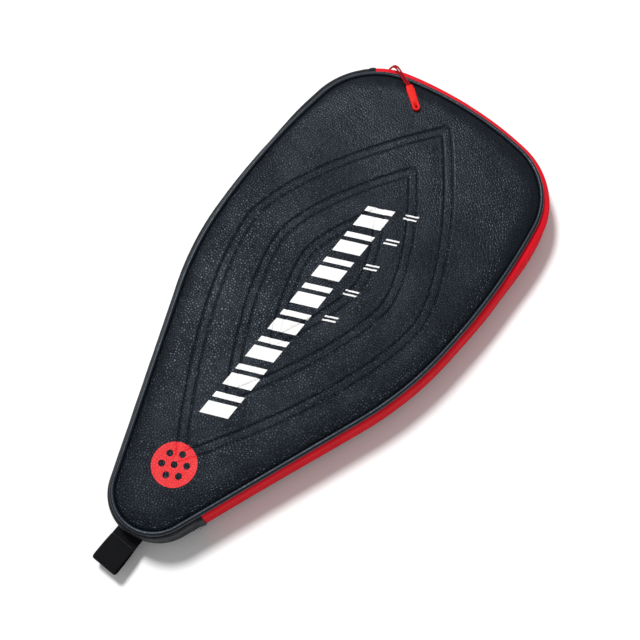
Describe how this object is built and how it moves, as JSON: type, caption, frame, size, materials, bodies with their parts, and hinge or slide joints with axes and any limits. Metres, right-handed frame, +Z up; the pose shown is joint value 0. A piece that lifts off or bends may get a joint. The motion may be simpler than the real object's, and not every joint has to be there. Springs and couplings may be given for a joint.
{
  "type": "paddle case",
  "caption": "Padded zipped soft case for one racket-sport paddle: crowned leather-look panels, piped rims, a side zip with a cord puller and a webbing hanging loop.",
  "frame": {"origin": "centre of the whole object seen from above, on the surface that the back panel lies on", "axes": "+Z up through the front panel, +Y towards the wide head end, +X towards the side that the zip opens"},
  "size_m": [0.2367, 0.4772, 0.041],
  "materials": {
    "leather": "pebble-grained satin synthetic leather",
    "wall_leather": "pebble-grained satin synthetic leather",
    "piping": "smooth satin synthetic leather over a cord",
    "foam": "closed-cell foam padding",
    "lining": "brushed knit lining",
    "binding": "grosgrain binding tape",
    "zip_tape": "fine ribbed zip tape",
    "zip_coil": "moulded nylon coil",
    "zip_metal": "black lacquered",
    "pull_cord": "braided cord",
    "pull_rubber": "satin moulded",
    "webbing": "plain-woven webbing"
  },
  "bodies": {
    "case_body": {"back_skin": "leather", "back_foam": "foam", "back_lining": "lining", "back_piping": "piping", "back_binding": "binding", "gusset_skin": "wall_leather", "gusset_lining": "lining", "front_skin_spine": "leather", "front_foam_spine": "foam", "front_lining_spine": "lining", "front_piping_spine": "piping", "front_binding_spine": "binding", "front_zip_tape_head_end": "zip_tape", "front_zip_tape_tail_end": "zip_tape", "front_zip_coil_head_end": "zip_coil", "back_zip_tape": "zip_tape", "back_zip_coil": "zip_coil", "zip_start_stop": "zip_metal", "zip_end_stop": "zip_metal", "loop_anchor": "webbing"},
    "front_flap": {"front_skin_flap": "leather", "front_foam_flap": "foam", "front_lining_flap": "lining", "front_piping_flap": "piping", "front_binding_flap": "binding", "front_zip_tape_flap": "zip_tape", "front_zip_coil_flap": "zip_coil"},
    "slider": {"zip_slider": "zip_metal"},
    "puller": {"pull_cord": "pull_cord", "pull_tab": "pull_rubber"},
    "hanging_loop": {"webbing_loop": "webbing"}
  },
  "joints": [
    {"name": "flap_fold", "type": "hinge", "parent": "case_body", "child": "front_flap", "pos_m": [-0.01619, 0.23416, 0.0384], "axis": [0.1511, -0.9885, 0], "range_deg": [0, 70]},
    {"name": "slider_run", "type": "hinge", "parent": "case_body", "child": "slider", "pos_m": [-0.04583, 0.16592, 0.019], "axis": [0, 0, -1], "range_deg": [0, 18]},
    {"name": "puller_swing", "type": "hinge", "parent": "slider", "child": "puller", "pos_m": [-0.0802, 0.23055, 0.019], "axis": [-0.8829, -0.4695, 0], "range_deg": [0, 150]},
    {"name": "loop_flex", "type": "hinge", "parent": "case_body", "child": "hanging_loop", "pos_m": [0, -0.21432, 0.012], "axis": [-1, 0, 0], "range_deg": [-15, 60], "stiffness_Nm_per_rad": 0.02}
  ]
}
